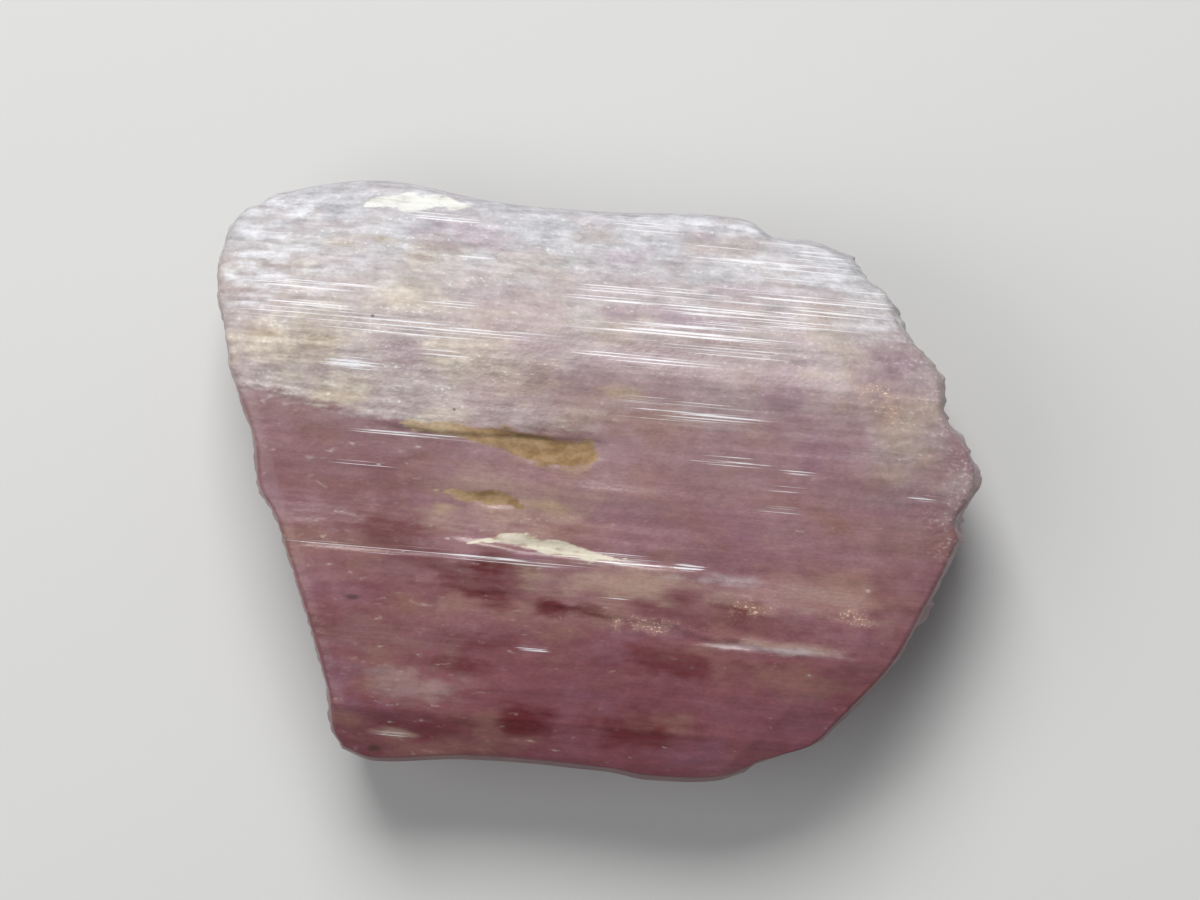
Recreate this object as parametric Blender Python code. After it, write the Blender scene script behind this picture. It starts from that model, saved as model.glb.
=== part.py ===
"""A rough kunzite crystal, lying on its flat back.

It is one natural piece: a slab of spodumene, flattened front to back, with
striations along its length. X runs along the striations, Y across them and Z
up through the slab. The origin is on the surface that the crystal rests on,
under its middle.

A block is sliced into a grid of stations, and every point of the grid is then
moved onto the crystal. Lengths are in millimetres until fit_to_size() turns
them into metres.
"""

import math

import bmesh
import bpy
from mathutils import Vector, noise

NAME = "kunzite_crystal"
MM = 0.001

# Driving dimensions, in millimetres
LENGTH = 43.0
WIDTH = 32.0
THICKNESS = 12.0

# Outline, as shares of WIDTH and LENGTH from the middle. Each end is a list of
# (across, along), and each long side a list of (along, how far it falls short).
LEFT_END = [
    (-0.500, -0.285),
    (-0.466, -0.304),
    (-0.372, -0.316),
    (-0.094, -0.397),
    (-0.044, -0.422),
    (0.033, -0.433),
    (0.134, -0.465),
    (0.234, -0.487),
    (0.300, -0.500),
    (0.406, -0.494),
    (0.472, -0.475),
    (0.500, -0.438),
]
RIGHT_END = [
    (-0.500, 0.236),
    (-0.438, 0.318),
    (-0.362, 0.355),
    (-0.259, 0.414),
    (-0.169, 0.447),
    (-0.030, 0.488),
    (-0.003, 0.481),
    (0.041, 0.497),
    (0.097, 0.499),
    (0.175, 0.455),
    (0.244, 0.443),
    (0.319, 0.391),
    (0.422, 0.359),
    (0.500, 0.313),
]
TOP_SIDE = [
    (-0.456, 0.047),
    (-0.354, 0.009),
    (-0.277, 0.000),
    (-0.147, 0.019),
    (0.013, 0.020),
    (0.112, 0.011),
    (0.181, 0.016),
    (0.212, 0.040),
    (0.269, 0.042),
    (0.323, 0.069),
]
BOTTOM_SIDE = [
    (-0.291, 0.018),
    (-0.242, 0.000),
    (-0.124, 0.019),
    (0.060, 0.019),
    (0.111, 0.011),
    (0.202, 0.020),
    (0.245, 0.047),
]
SIDE_REACH = 5.0  # how far in from a long side its unevenness is felt

# Front and back faces, flat from one point to the next: (share of WIDTH from
# the middle, share of THICKNESS). The back is flat where it would be below 0.
FRONT_ACROSS = [
    (-0.50, 0.72),
    (-0.46, 0.79),
    (-0.40, 0.85),
    (-0.24, 0.91),
    (0.02, 0.96),
    (0.20, 0.985),
    (0.27, 0.955),
    (0.37, 0.83),
    (0.50, 0.57),
]
BACK_ACROSS = [
    (-0.50, 0.15),
    (-0.40, 0.03),
    (-0.34, -0.04),
    (0.24, -0.04),
    (0.33, 0.02),
    (0.50, 0.23),
]

# Bevelled faces near the ends: (which way it faces from above in degrees, how
# far from the middle it starts, how much it falls in each millimetre)
FRONT_BEVELS = [
    (0.0, 16.0, 0.22),
    (32.0, 15.5, 0.25),
    (-42.0, 16.3, 0.20),
    (201.0, 16.0, 0.35),
    (148.0, 18.5, 0.30),
]
BACK_BEVELS = [
    (12.0, 14.5, 0.35),
    (-42.0, 14.0, 0.45),
    (201.0, 13.6, 0.40),
    (125.0, 15.5, 0.30),
]

# How far the rim is drawn in at the top and bottom of the slab, and what share
# of that it is drawn in at each level between, from the back at -1 to 1
RIM_AT_SIDES = 0.35
RIM_AT_LEFT = 0.4
RIM_AT_RIGHT = 0.5
RIM_SHARE = 0.1  # the part of the block, in from each edge, that counts as rim
RIM_PROFILE = [
    (-1.00, 1.00),
    (-0.72, 0.42),
    (-0.35, 0.06),
    (0.05, 0.00),
    (0.45, 0.16),
    (0.78, 0.50),
    (1.00, 1.00),
]

# Ledges, where one layer of the crystal ends above the next. Each runs along
# the striations: (share of WIDTH at its left and right end, shares of LENGTH
# at its left and right end, height, how far its edge wanders). The height is
# below 0 where the lower part of the face stands higher.
FRONT_LEDGES = [
    (0.150, 0.080, -0.60, -0.22, 0.14, 0.30),
    (0.080, 0.086, -0.20, -0.03, 0.32, 0.15),
    (-0.130, -0.130, -0.30, -0.15, -0.14, 0.05),
    (-0.100, -0.118, -0.10, 0.09, -0.26, 0.15),
    (-0.187, -0.240, -0.08, 0.27, 0.20, 0.50),
    (-0.242, -0.242, 0.20, 0.33, -0.14, 0.10),
]
LOWER_BACK_LEDGES = [
    (-0.300, -0.330, -0.20, 0.60, 0.45, 0.50),
]
UPPER_BACK_LEDGES = [  # these are measured from the opposite corner
    (-0.225, -0.255, -0.22, 0.60, 0.55, 0.50),
]
LEDGE_WALL = 0.35  # how wide the slope of a ledge's wall is, seen from above
LEDGE_FADE = 4.0  # the distance over which a ledge dies out past its ends
WANDER_LENGTH = 3.0  # the length of one bend in a ledge's edge

# Hollows on the front: (share of LENGTH, share of WIDTH, half length, half
# width, depth). The first two hold the clay, the next the cream streak, and
# the last is the chip beside the top edge.
HOLLOWS = [
    (-0.045, 0.068, 3.5, 1.25, 0.22),
    (-0.112, -0.031, 1.8, 0.55, 0.12),
    (-0.030, -0.105, 3.9, 0.5, 0.10),
    (-0.250, 0.470, 3.0, 0.9, 0.25),
]
HOLLOW_FLOOR = 0.4  # the share of a hollow, from its middle, that is at full depth

# Striations and lumps: sizes of the ridges along and across the crystal
STRIATION_LENGTH, STRIATION_WIDTH, STRIATION_HEIGHT = 14.0, 1.7, 0.12
RIB_LENGTH, RIB_WIDTH, RIB_HEIGHT = 30.0, 3.6, 0.16
LUMP_SIZE, LUMP_HEIGHT = 6.0, 0.30
ETCH_SIZE, ETCH_HEIGHT = 1.9, 0.30  # the bumps on the etched ends

# Teeth along the right end, which leave its lower part smooth
SCALLOP_PITCH, SCALLOP_DEPTH, SCALLOP_LEAN = 2.7, 0.32, 0.4
SMOOTH_BELOW, SCALLOPED_ABOVE = -9.0, -5.0

# Which part of the noise each surface uses, so that no two are alike
FRONT, BACK, RIM, LEDGES = 10.0, 90.0, 170.0, 250.0
FINE_TO_BROAD = 40.0

# Stations of the grid along, across and through the block
STATIONS_ALONG, STATIONS_ACROSS = 40, 48

PALE_LILAC = (0.47, 0.30, 0.36, 1.0)
ROUGHNESS = 0.35
IOR = 1.66


def clamp(value, low=0.0, high=1.0):
    return max(low, min(high, value))


def smooth_step(low, high, value):
    t = clamp((value - low) / (high - low))
    return t * t * (3 - 2 * t)


def through(points, at):
    """The height at a place on the smooth curve through (place, height) points."""
    if at <= points[0][0]:
        return points[0][1]
    if at >= points[-1][0]:
        return points[-1][1]
    slopes = []
    for i in range(len(points)):
        before, after = points[max(i - 1, 0)], points[min(i + 1, len(points) - 1)]
        slopes.append((after[1] - before[1]) / (after[0] - before[0]))
    for i in range(len(points) - 1):
        (start, first), (end, last) = points[i], points[i + 1]
        if at > end:
            continue
        span = end - start
        t = (at - start) / span
        bend_in = slopes[i] * span
        bend_out = slopes[i + 1] * span
        return (
            first * (2 * t**3 - 3 * t**2 + 1)
            + bend_in * (t**3 - 2 * t**2 + t)
            + last * (3 * t**2 - 2 * t**3)
            + bend_out * (t**3 - t**2)
        )
    return points[-1][1]


def along_flats(points, at):
    """The height at a place on the straight lines between (place, height) points."""
    if at <= points[0][0]:
        return points[0][1]
    for (start, first), (end, last) in zip(points, points[1:]):
        if at <= end:
            return first + (last - first) * (at - start) / (end - start)
    return points[-1][1]


def row_ends(y):
    """Where the row of the outline at y begins and ends."""
    across = y / WIDTH
    return through(LEFT_END, across) * LENGTH, through(RIGHT_END, across) * LENGTH


def stretched_noise(x, y, length, width, part):
    """Smooth noise from -1 to 1, drawn out along X."""
    return noise.noise(Vector((x / length, y / width, part)))


def striations(x, y, part):
    """Height of the ridges that run along the crystal."""
    fine = stretched_noise(x, y, STRIATION_LENGTH, STRIATION_WIDTH, part)
    part += FINE_TO_BROAD
    broad = 1 - 2 * abs(stretched_noise(x, y, RIB_LENGTH, RIB_WIDTH, part))
    return STRIATION_HEIGHT * fine + RIB_HEIGHT * broad


def lumps(x, y, part):
    return LUMP_HEIGHT * stretched_noise(x, y, LUMP_SIZE, LUMP_SIZE, part)


def ledge_drop(x, y, ledges):
    """How much lower the face is for the ledges between here and its top edge."""
    drop = 0.0
    for left_y, right_y, left, right, height, wander in ledges:
        start, end = left * LENGTH, right * LENGTH
        share = clamp((x - start) / (end - start))
        edge = (left_y + (right_y - left_y) * share) * WIDTH
        edge += wander * noise.noise(Vector((x / WANDER_LENGTH, edge, LEDGES)))
        there = smooth_step(-LEDGE_FADE, 0.0, x - start)
        there *= smooth_step(-LEDGE_FADE, 0.0, end - x)
        drop += height * there * smooth_step(0.0, LEDGE_WALL, edge - y)
    return drop


def hollows(x, y):
    """Depth of the long etched hollows at this place."""
    depth = 0.0
    for along, across, half_length, half_width, deep in HOLLOWS:
        far_x = (x - along * LENGTH) / half_length
        far_y = (y - across * WIDTH) / half_width
        depth += deep * smooth_step(1.0, HOLLOW_FLOOR, math.hypot(far_x, far_y))
    return depth


def bevel_fall(x, y, bevels):
    """How far the deepest bevel here has cut into the face."""
    most = 0.0
    for facing, start, slope in bevels:
        angle = math.radians(facing)
        reached = x * math.cos(angle) + y * math.sin(angle)
        most = max(most, slope * (reached - start))
    return most


def front_height(x, y):
    height = along_flats(FRONT_ACROSS, y / WIDTH) * THICKNESS
    height -= bevel_fall(x, y, FRONT_BEVELS)
    height -= ledge_drop(x, y, FRONT_LEDGES)
    height -= hollows(x, y)
    return height + lumps(x, y, FRONT) + striations(x, y, FRONT)


def back_height(x, y):
    """The back is flat where the crystal rests, and broken up towards its rim."""
    height = along_flats(BACK_ACROSS, y / WIDTH) * THICKNESS
    height += bevel_fall(x, y, BACK_BEVELS)
    height += ledge_drop(x, y, LOWER_BACK_LEDGES)
    height += ledge_drop(-x, -y, UPPER_BACK_LEDGES)
    return max(0.0, height + lumps(x, y, BACK) + striations(x, y, BACK))


def etching(x, y, z):
    """Height of the bumps on an etched end."""
    return ETCH_HEIGHT * noise.noise(Vector((x, y, z)) / ETCH_SIZE)


def scallops(y, z):
    """Size of the pointed teeth along the right end."""
    wave = math.sin(math.pi * (y + SCALLOP_LEAN * z) / SCALLOP_PITCH)
    there = smooth_step(SMOOTH_BELOW, SCALLOPED_ABOVE, y)
    return SCALLOP_DEPTH * (1 - abs(wave)) * there


def outline_place(u, v, drawn_in):
    """Where (u, v) of the block lies inside the crystal's outline."""
    y = v * (WIDTH / 2 - RIM_AT_SIDES * drawn_in)
    left, right = row_ends(y)
    left += RIM_AT_LEFT * drawn_in
    right -= RIM_AT_RIGHT * drawn_in
    x = left + (right - left) * (u + 1) / 2
    from_top = smooth_step(SIDE_REACH, 0.0, WIDTH / 2 - y)
    from_bottom = smooth_step(SIDE_REACH, 0.0, WIDTH / 2 + y)
    y -= through(TOP_SIDE, x / LENGTH) * WIDTH * from_top
    y += through(BOTTOM_SIDE, x / LENGTH) * WIDTH * from_bottom
    return x, y


def place(u, v, w):
    """A point of the block, each of u, v and w from -1 to 1, moved onto the crystal."""
    drawn_in = along_flats(RIM_PROFILE, w)
    x, y = outline_place(u, v, drawn_in)
    low, high = back_height(x, y), front_height(x, y)
    z = low + (high - low) * (w + 1) / 2

    on_rim = 1 - drawn_in
    on_end = on_rim * smooth_step(1 - RIM_SHARE, 1.0, abs(u))
    on_side = on_rim * smooth_step(1 - RIM_SHARE, 1.0, abs(v))
    # Bumps, teeth and ridges all stand out from the rim
    out = etching(x, y, z)
    if u > 0:
        out -= scallops(y, z)
    x += math.copysign(abs(out) * on_end, u)
    y += math.copysign(abs(striations(x, z, RIM)) * on_side, v)
    return Vector((x, y, z))


def fit_to_size(points):
    """Centres the points over the origin, and stretches them to the real size."""
    low = [min(point[axis] for point in points) for axis in range(3)]
    high = [max(point[axis] for point in points) for axis in range(3)]
    floor = Vector(((low[0] + high[0]) / 2, (low[1] + high[1]) / 2, low[2]))
    size = (LENGTH, WIDTH, THICKNESS)
    stretch = Vector([size[axis] / (high[axis] - low[axis]) for axis in range(3)])
    return [(point - floor) * stretch * MM for point in points]


def even_stations(count):
    return [2 * i / count - 1 for i in range(1, count)]


def sliced_block():
    """A cube from -1 to 1, cut through at every station."""
    block = bmesh.new()
    bmesh.ops.create_cube(block, size=2.0)
    directions = [
        (Vector((1, 0, 0)), even_stations(STATIONS_ALONG)),
        (Vector((0, 1, 0)), even_stations(STATIONS_ACROSS)),
        (Vector((0, 0, 1)), [level for level, _ in RIM_PROFILE[1:-1]]),
    ]
    for direction, stations in directions:
        for station in stations:
            everything = block.verts[:] + block.edges[:] + block.faces[:]
            bmesh.ops.bisect_plane(
                block,
                geom=everything,
                plane_co=direction * station,
                plane_no=direction,
            )
    return block


def kunzite_material():
    material = bpy.data.materials.new("kunzite")
    material.use_nodes = True
    shader = material.node_tree.nodes["Principled BSDF"]
    shader.inputs["Base Color"].default_value = PALE_LILAC
    shader.inputs["Roughness"].default_value = ROUGHNESS
    shader.inputs["Metallic"].default_value = 0.0
    shader.inputs["IOR"].default_value = IOR
    shader.inputs["Transmission Weight"].default_value = 0.6
    return material


def kunzite_crystal(collection):
    block = sliced_block()
    placed = fit_to_size([place(*vertex.co) for vertex in block.verts])
    for vertex, point in zip(block.verts, placed):
        vertex.co = point
    bmesh.ops.recalc_face_normals(block, faces=block.faces[:])
    mesh = bpy.data.meshes.new(NAME)
    block.to_mesh(mesh)
    block.free()
    mesh.shade_smooth()
    mesh.set_sharp_from_angle(angle=math.radians(35))
    mesh.materials.append(kunzite_material())
    crystal = bpy.data.objects.new(NAME, mesh)
    collection.objects.link(crystal)
    return crystal


def main():
    for old in list(bpy.data.objects):
        bpy.data.objects.remove(old)
    collection = bpy.data.collections.new("kunzite")
    bpy.context.scene.collection.children.link(collection)
    kunzite_crystal(collection)


main()
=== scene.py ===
"""A rough kunzite crystal lying on its flat back, seen from above.

The crystal is rebuilt finely over its plain solid: the same faces, ledges and
hollows, with striations, etch pits and a ragged rim between them. Its lengths
are in millimetres until fit_to_box() turns them into metres. The floor and the
lamps are in metres.
"""

import bmesh
import bpy
import math
import numpy as np
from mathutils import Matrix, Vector, noise
from types import SimpleNamespace


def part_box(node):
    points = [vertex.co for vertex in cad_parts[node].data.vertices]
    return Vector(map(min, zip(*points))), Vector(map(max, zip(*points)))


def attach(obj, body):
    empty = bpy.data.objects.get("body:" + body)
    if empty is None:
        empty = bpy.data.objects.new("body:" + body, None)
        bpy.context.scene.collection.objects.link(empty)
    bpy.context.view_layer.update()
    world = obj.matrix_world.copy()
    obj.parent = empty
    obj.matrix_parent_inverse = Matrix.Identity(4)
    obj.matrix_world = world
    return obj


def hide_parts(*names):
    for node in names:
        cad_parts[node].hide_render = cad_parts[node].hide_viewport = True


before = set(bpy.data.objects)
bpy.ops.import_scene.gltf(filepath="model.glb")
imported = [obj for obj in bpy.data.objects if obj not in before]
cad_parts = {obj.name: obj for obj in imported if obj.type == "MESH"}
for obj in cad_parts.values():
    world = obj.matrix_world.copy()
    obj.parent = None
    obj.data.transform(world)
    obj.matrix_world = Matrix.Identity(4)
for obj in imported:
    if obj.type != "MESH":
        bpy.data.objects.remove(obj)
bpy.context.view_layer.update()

NODE = "kunzite_crystal"
MM = 0.001

# Size of the crystal, in millimetres
LENGTH, WIDTH, THICKNESS = 43.0, 32.0, 12.0

# Outline, as shares of WIDTH and LENGTH from the middle. Each end is a list of
# (across, along), and each long side a list of (along, how far it falls short).
LEFT_END = [
    (-0.500, -0.285),
    (-0.466, -0.304),
    (-0.372, -0.316),
    (-0.094, -0.397),
    (-0.044, -0.422),
    (0.033, -0.433),
    (0.134, -0.465),
    (0.234, -0.487),
    (0.300, -0.500),
    (0.406, -0.494),
    (0.472, -0.475),
    (0.500, -0.438),
]
RIGHT_END = [
    (-0.500, 0.236),
    (-0.438, 0.318),
    (-0.362, 0.355),
    (-0.259, 0.414),
    (-0.169, 0.447),
    (-0.030, 0.488),
    (-0.003, 0.481),
    (0.041, 0.497),
    (0.097, 0.499),
    (0.175, 0.455),
    (0.244, 0.443),
    (0.319, 0.391),
    (0.422, 0.359),
    (0.500, 0.313),
]
TOP_SIDE = [
    (-0.456, 0.047),
    (-0.354, 0.009),
    (-0.277, 0.000),
    (-0.147, 0.019),
    (0.013, 0.020),
    (0.112, 0.011),
    (0.181, 0.016),
    (0.212, 0.040),
    (0.269, 0.042),
    (0.323, 0.069),
]
BOTTOM_SIDE = [
    (-0.291, 0.018),
    (-0.242, 0.000),
    (-0.124, 0.019),
    (0.060, 0.019),
    (0.111, 0.011),
    (0.202, 0.020),
    (0.245, 0.047),
]
# How far in from a long side its unevenness is felt
SIDE_REACH = 5.0

# Front and back faces, flat from one point to the next: (share of WIDTH from
# the middle, share of THICKNESS). The back is flat where it would be below 0.
FRONT_ACROSS = [
    (-0.50, 0.72),
    (-0.46, 0.79),
    (-0.40, 0.85),
    (-0.24, 0.91),
    (0.02, 0.96),
    (0.20, 0.985),
    (0.27, 0.955),
    (0.37, 0.83),
    (0.50, 0.57),
]
BACK_ACROSS = [
    (-0.50, 0.15),
    (-0.40, 0.03),
    (-0.34, -0.04),
    (0.24, -0.04),
    (0.33, 0.02),
    (0.50, 0.23),
]

# Bevelled faces near the ends: (which way it faces from above in degrees, how
# far from the middle it starts, how much it falls in each millimetre)
FRONT_BEVELS = [
    (0.0, 16.0, 0.22),
    (32.0, 15.5, 0.25),
    (-42.0, 16.3, 0.20),
    (201.0, 16.0, 0.35),
    (148.0, 18.5, 0.30),
]
BACK_BEVELS = [
    (12.0, 14.5, 0.35),
    (-42.0, 14.0, 0.45),
    (201.0, 13.6, 0.40),
    (125.0, 15.5, 0.30),
]

# How far the rim is drawn in at the top and bottom of the slab, and what share
# of that it is drawn in at each level between, from the back at -1 to 1.
# RIM_SHARE is the part of the block, in from each edge, that counts as rim.
RIM_AT_SIDES = 0.35
RIM_AT_LEFT = 0.4
RIM_AT_RIGHT = 0.5
RIM_SHARE = 0.1
RIM_PROFILE = [
    (-1.00, 1.00),
    (-0.72, 0.42),
    (-0.35, 0.06),
    (0.05, 0.00),
    (0.45, 0.16),
    (0.78, 0.50),
    (1.00, 1.00),
]

# Ledges, where one layer of the crystal ends above the next. Each runs along
# the striations: (share of WIDTH at its left and right end, shares of LENGTH
# at its left and right end, height, how far its edge wanders). The height is
# below 0 where the lower part of the face stands higher. The upper back ledges
# are measured from the opposite corner.
FRONT_LEDGES = [
    (0.150, 0.080, -0.60, -0.22, 0.07, 0.30),
    (0.080, 0.086, -0.20, -0.03, 0.16, 0.15),
    (-0.130, -0.130, -0.30, -0.15, -0.10, 0.05),
    (-0.100, -0.118, -0.10, 0.09, -0.20, 0.15),
    (-0.187, -0.240, -0.08, 0.27, 0.12, 0.50),
    (-0.242, -0.242, 0.20, 0.33, -0.10, 0.10),
]
LOWER_BACK_LEDGES = [
    (-0.300, -0.330, -0.20, 0.60, 0.45, 0.50),
]
UPPER_BACK_LEDGES = [
    (-0.225, -0.255, -0.22, 0.60, 0.55, 0.50),
]
# The width of a ledge's wall from above, the distance over which it dies out
# past its ends, and the bends in its edge: long ones, and jags on them
LEDGE_WALL = 0.25
LEDGE_FADE = 4.0
WANDER_LENGTH = 3.0
JAG_LENGTH, JAG_SHARE = 0.8, 0.35

# Hollows on the front: (share of LENGTH, share of WIDTH, half length, half
# width, depth). The first two hold the clay, the next the cream streak, and
# the last is the chip beside the top edge. HOLLOW_FLOOR is the share of each,
# from its middle, that is at full depth.
HOLLOWS = [
    (-0.045, 0.068, 3.5, 1.25, 0.22),
    (-0.112, -0.031, 1.8, 0.55, 0.12),
    (-0.030, -0.105, 3.9, 0.5, 0.10),
    (-0.250, 0.470, 3.0, 0.9, 0.25),
]
HOLLOW_FLOOR = 0.4

# Relief of the faces: ridges along the crystal, broad ribs, and lumps
STRIATION_LENGTH, STRIATION_WIDTH, STRIATION_HEIGHT = 14.0, 1.7, 0.08
RIB_LENGTH, RIB_WIDTH, RIB_HEIGHT = 30.0, 3.6, 0.16
LUMP_SIZE, LUMP_HEIGHT = 6.0, 0.30

# Bumps on the etched ends, and smaller ones that are drawn out upwards
ETCH_SIZE, ETCH_HEIGHT = 1.9, 0.30
BUMP_SIZE, BUMP_TALL, BUMP_HEIGHT = 0.45, 1.6, 0.17

# Scallops along the right end, which leave its lower part smooth, and uneven
# teeth on them
SCALLOP_PITCH, SCALLOP_DEPTH, SCALLOP_LEAN = 2.7, 0.32, 0.4
TOOTH_PITCH, TOOTH_DEPTH = 0.95, 0.17
TOOTH_SHIFT, TOOTH_SHIFT_LENGTH = 0.6, 1.4
SMOOTH_BELOW, SCALLOPED_ABOVE = -9.0, -5.0

# Steps broken out of the ends and grooves along the two long sides, all of
# them below the level where the crystal is widest. A count is how many steps
# the noise makes, and UNDER_FADE is how soon they start below that level.
SPLINTER_WIDTH, SPLINTER_HEIGHT, SPLINTER_LEAN = 2.4, 0.42, 0.35
SPLINTER_TALL, SPLINTER_COUNT = 7.0, 3.0
LAYER_LENGTH, LAYER_WIDTH, LAYER_COUNT, LAYER_SHARE = 9.0, 2.2, 2.0, 0.5
RIDGE_WIDTH, RIDGE_DEPTH, RIDGE_TALL, RIDGE_LENGTH = 0.8, 0.40, 5.0, 12.0
GROOVE_LENGTH, GROOVE_WIDTH, GROOVE_DEPTH, GROOVE_COUNT = 17.0, 2.2, 0.42, 3.5
SPLINTER_FLAT, GROOVE_FLAT = 0.8, 0.75
UNDER_FADE = 0.3

# Which part of the noise each thing uses, so that no two are alike
FRONT, BACK, RIM, LEDGES = 10.0, 90.0, 170.0, 250.0
FROST_BORDER, LAYER_BORDER, RAGGED, SMALL_RAGGED, TEETH = 31.0, 37.0, 43.0, 47.0, 61.0
RIGHT_STEPS, LEFT_STEPS, TOP_GROOVES, BOTTOM_GROOVES = 71.0, 83.0, 101.0, 113.0
FINE_TO_BROAD = 40.0
TO_STAIRS, TO_RIDGES, TO_GRAIN, TO_LAYERS = 3.0, 3.0, 5.0, 6.0

# Fine relief: (length along the crystal, width across it, height)
FINE_STRIATIONS = [
    (9.0, 0.60, 0.012),
    (7.0, 0.28, 0.006),
]
STAIR_LENGTH, STAIR_WIDTH, STAIR_COUNT, STAIR_HEIGHT, STAIR_FLAT = 24.0, 3.2, 5.0, 0.02, 0.75

# Etch pits where the crystal is dull, and the grain between them
PIT_LENGTH, PIT_WIDTH, PIT_DEPTH = 1.1, 0.45, 0.045
PIT_FROM, PIT_FULL = 0.10, 0.45
GRAIN_LENGTH, GRAIN_WIDTH, GRAIN_HEIGHT = 0.55, 0.30, 0.025
# The ends are etched this much, from END_REACH in to full at END_FULL, and the
# relief of the back fades out over REST_FADE above the surface it rests on
END_ETCHED, END_REACH, END_FULL = 0.8, 3.0, 0.5
REST_FADE = 0.5

# Stains on the front, each a band through (x, y, half width), in millimetres
# from the middle
CLAY_BANDS = [
    [
        (-10.6, 2.60, 0.00),
        (-9.8, 2.60, 0.20),
        (-8.4, 2.55, 0.34),
        (-6.4, 2.57, 0.40),
        (-4.4, 2.25, 0.70),
        (-2.3, 1.78, 0.85),
        (-0.3, 1.80, 0.82),
        (0.2, 1.80, 0.75),
        (0.4, 1.80, 0.00),
    ],
    [
        (-8.2, -0.80, 0.00),
        (-6.4, -0.85, 0.25),
        (-4.9, -0.95, 0.42),
        (-3.6, -1.15, 0.20),
        (-3.2, -1.20, 0.00),
    ],
]
# Painted shadow along the clay's top edge, under the ledge above it, as bands too
CLAY_SHADOW_BANDS = [
    [
        (-6.8, 2.85, 0.00),
        (-5.5, 2.90, 0.14),
        (-3.6, 2.70, 0.22),
        (-1.5, 2.50, 0.18),
        (0.1, 2.45, 0.00),
    ],
]
CREAM_BANDS = [
    [
        (-6.4, -3.45, 0.00),
        (-5.4, -3.30, 0.16),
        (-4.2, -3.05, 0.22),
        (-3.0, -3.00, 0.34),
        (-1.9, -3.25, 0.30),
        (-0.8, -3.35, 0.38),
        (0.6, -3.62, 0.30),
        (2.6, -3.70, 0.00),
    ],
    [
        (-13.9, 14.45, 0.00),
        (-13.0, 14.65, 0.38),
        (-11.9, 15.00, 0.36),
        (-11.0, 14.90, 0.58),
        (-9.5, 15.05, 0.44),
        (-8.6, 14.90, 0.28),
        (-7.9, 14.85, 0.00),
    ],
]

# Patches of colour on the front, each an oval: (x, y, half length, half width,
# strength), in millimetres from the middle
WINE = [
    (-5.6, -5.40, 2.6, 1.25, 0.9),
    (-5.1, -5.00, 2.3, 1.10, 1.0),
    (-10.5, -3.00, 2.6, 0.90, 0.6),
    (-8.3, -4.30, 2.0, 0.60, 0.5),
    (-6.4, -10.10, 1.8, 0.55, 0.8),
    (-1.4, -6.50, 1.0, 0.50, 1.0),
    (0.7, -6.40, 0.9, 0.50, 1.0),
    (3.6, -6.00, 1.6, 0.35, 0.8),
    (5.6, -5.30, 0.9, 0.50, 0.8),
    (8.8, -5.60, 1.4, 0.50, 0.9),
    (-14.0, 0.20, 6.0, 2.60, 0.34),
    (-2.4, -12.90, 1.6, 0.90, 0.9),
    (-5.4, -8.85, 2.8, 0.60, 0.6),
    (5.7, -9.00, 3.4, 0.80, 0.7),
    (3.9, -12.90, 2.6, 0.90, 0.8),
    (-7.5, -13.60, 2.5, 0.70, 0.6),
    (9.0, -6.10, 1.6, 0.50, 0.6),
]
PLUM = [
    (-12.6, -11.10, 1.4, 1.80, 0.8),
    (7.5, -14.00, 1.8, 0.80, 0.6),
    (7.9, -3.00, 2.2, 1.20, 0.6),
    (3.5, -1.80, 2.0, 1.20, 0.5),
    (-10.3, 6.40, 1.2, 1.00, 0.8),
    (-4.0, 6.80, 2.4, 2.00, 0.6),
    (-8.2, 13.20, 2.8, 0.80, 0.9),
    (-5.5, 9.90, 3.0, 0.80, 0.6),
    (3.7, 9.65, 4.6, 0.45, 1.0),
    (6.5, 9.30, 6.0, 2.20, 0.45),
    (7.4, 11.50, 2.8, 0.30, 0.8),
    (1.0, 12.80, 2.2, 0.60, 0.6),
    (10.3, 6.00, 1.3, 2.20, 0.8),
    (16.1, 8.10, 1.6, 0.80, 0.9),
    (12.5, 3.50, 2.5, 1.20, 0.5),
    (20.0, -3.00, 1.6, 3.50, 0.4),
    (12.5, -11.50, 3.0, 1.60, 0.4),
    (5.1, 14.40, 1.0, 0.35, 1.0),
]
HAZE = [
    (1.5, -4.90, 4.8, 0.95, 1.0),
    (13.0, -4.80, 3.6, 1.20, 0.55),
    (-8.6, -11.40, 2.8, 1.00, 0.38),
    (-10.5, -9.10, 3.2, 1.10, 0.3),
    (8.5, -5.20, 1.5, 0.40, 0.6),
    (11.4, -7.60, 2.9, 0.30, 0.8),
    (-4.0, -1.10, 4.4, 1.70, 0.9),
    (16.9, 4.60, 1.4, 0.80, 0.8),
    (17.0, -1.00, 2.4, 1.00, 0.25),
    (1.6, 5.20, 1.4, 0.60, 0.7),
    (-9.5, -14.20, 1.0, 0.25, 1.0),
]
STRAW = [
    (-15.1, 12.20, 0.9, 0.25, 0.7),
    (-12.0, 12.60, 1.1, 0.22, 0.9),
    (-13.5, 3.90, 1.5, 0.25, 0.55),
    (-18.2, 6.90, 0.9, 0.40, 0.5),
    (-14.5, 6.80, 1.6, 0.30, 0.5),
    (1.6, 5.30, 1.2, 0.40, 0.6),
    (-7.8, -1.60, 0.4, 0.25, 0.9),
    (-2.2, -1.10, 1.2, 0.35, 0.6),
]
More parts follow.
